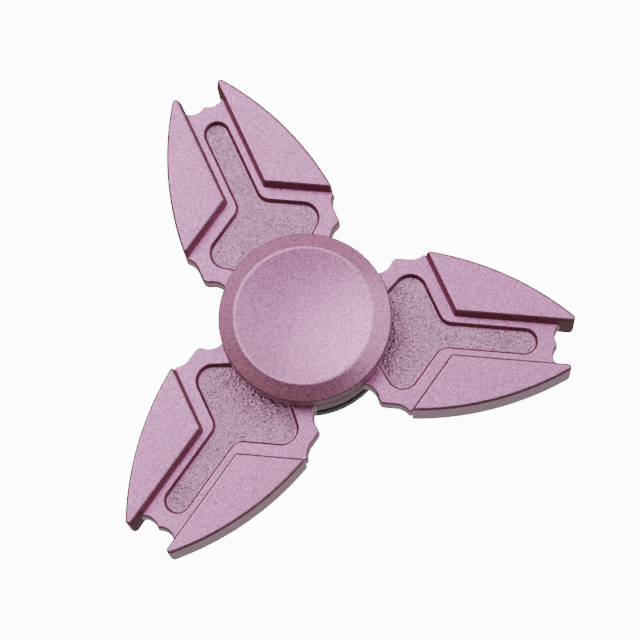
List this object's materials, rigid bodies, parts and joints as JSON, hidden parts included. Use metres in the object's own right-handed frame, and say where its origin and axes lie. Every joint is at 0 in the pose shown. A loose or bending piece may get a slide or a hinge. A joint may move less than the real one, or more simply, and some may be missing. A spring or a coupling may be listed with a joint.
{
  "type": "fidget spinner",
  "caption": "Three-arm metal fidget spinner with forked claw arms on a small ball bearing between two dished finger caps.",
  "frame": {"origin": "centre of the bearing, on the spin axis, midway between the two caps", "axes": "+Z along the spin axis towards the upper cap, +X along one arm's centre line"},
  "size_m": [0.0563, 0.0648, 0.012],
  "materials": {
    "frame_finish": "satin rose metallic over cast metal",
    "cap_finish": "satin rose metallic over turned metal",
    "race_steel": "ground bearing steel",
    "ball_steel": "polished",
    "cage_brass": "satin",
    "screw_steel": "black oxide"
  },
  "bodies": {
    "caps": {"top_cap": "cap_finish", "bottom_cap": "cap_finish", "joining_screw": "screw_steel", "inner_race": "race_steel"},
    "rotor": {"spinner_frame": "frame_finish", "outer_race": "race_steel", "upper_shield": "race_steel", "lower_shield": "race_steel", "upper_snap_ring": "race_steel", "lower_snap_ring": "race_steel"},
    "cage": {"ball_cage": "cage_brass"},
    "rolling_ball_1": {"ball_1": "ball_steel"},
    "rolling_ball_2": {"ball_2": "ball_steel"},
    "rolling_ball_3": {"ball_3": "ball_steel"},
    "rolling_ball_4": {"ball_4": "ball_steel"},
    "rolling_ball_5": {"ball_5": "ball_steel"},
    "rolling_ball_6": {"ball_6": "ball_steel"},
    "rolling_ball_7": {"ball_7": "ball_steel"},
    "rolling_ball_8": {"ball_8": "ball_steel"},
    "rolling_ball_9": {"ball_9": "ball_steel"},
    "rolling_ball_10": {"ball_10": "ball_steel"}
  },
  "joints": [
    {"name": "frame_spin", "type": "hinge", "parent": "caps", "child": "rotor", "pos_m": [0, 0, 0], "axis": [0, 0, 1], "continuous": true},
    {"name": "cage_spin", "type": "hinge", "parent": "caps", "child": "cage", "pos_m": [0, 0, 0], "axis": [0, 0, 1], "continuous": true},
    {"name": "ball_1_spin", "type": "hinge", "parent": "cage", "child": "rolling_ball_1", "pos_m": [0.00476, 0, 0], "axis": [0, 0, 1], "continuous": true},
    {"name": "ball_2_spin", "type": "hinge", "parent": "cage", "child": "rolling_ball_2", "pos_m": [0.00385, 0.0028, 0], "axis": [0, 0, 1], "continuous": true},
    {"name": "ball_3_spin", "type": "hinge", "parent": "cage", "child": "rolling_ball_3", "pos_m": [0.00147, 0.00453, 0], "axis": [0, 0, 1], "continuous": true},
    {"name": "ball_4_spin", "type": "hinge", "parent": "cage", "child": "rolling_ball_4", "pos_m": [-0.00147, 0.00453, 0], "axis": [0, 0, 1], "continuous": true},
    {"name": "ball_5_spin", "type": "hinge", "parent": "cage", "child": "rolling_ball_5", "pos_m": [-0.00385, 0.0028, 0], "axis": [0, 0, 1], "continuous": true},
    {"name": "ball_6_spin", "type": "hinge", "parent": "cage", "child": "rolling_ball_6", "pos_m": [-0.00476, 0, 0], "axis": [0, 0, 1], "continuous": true},
    {"name": "ball_7_spin", "type": "hinge", "parent": "cage", "child": "rolling_ball_7", "pos_m": [-0.00385, -0.0028, 0], "axis": [0, 0, 1], "continuous": true},
    {"name": "ball_8_spin", "type": "hinge", "parent": "cage", "child": "rolling_ball_8", "pos_m": [-0.00147, -0.00453, 0], "axis": [0, 0, 1], "continuous": true},
    {"name": "ball_9_spin", "type": "hinge", "parent": "cage", "child": "rolling_ball_9", "pos_m": [0.00147, -0.00453, 0], "axis": [0, 0, 1], "continuous": true},
    {"name": "ball_10_spin", "type": "hinge", "parent": "cage", "child": "rolling_ball_10", "pos_m": [0.00385, -0.0028, 0], "axis": [0, 0, 1], "continuous": true}
  ],
  "couplings": [
    {"joint": "cage_spin", "follows": "frame_spin", "ratio": 0.58333},
    {"joint": "ball_1_spin", "follows": "frame_spin", "ratio": 2.9167},
    {"joint": "ball_2_spin", "follows": "frame_spin", "ratio": 2.9167},
    {"joint": "ball_3_spin", "follows": "frame_spin", "ratio": 2.9167},
    {"joint": "ball_4_spin", "follows": "frame_spin", "ratio": 2.9167},
    {"joint": "ball_5_spin", "follows": "frame_spin", "ratio": 2.9167},
    {"joint": "ball_6_spin", "follows": "frame_spin", "ratio": 2.9167},
    {"joint": "ball_7_spin", "follows": "frame_spin", "ratio": 2.9167},
    {"joint": "ball_8_spin", "follows": "frame_spin", "ratio": 2.9167},
    {"joint": "ball_9_spin", "follows": "frame_spin", "ratio": 2.9167},
    {"joint": "ball_10_spin", "follows": "frame_spin", "ratio": 2.9167}
  ]
}
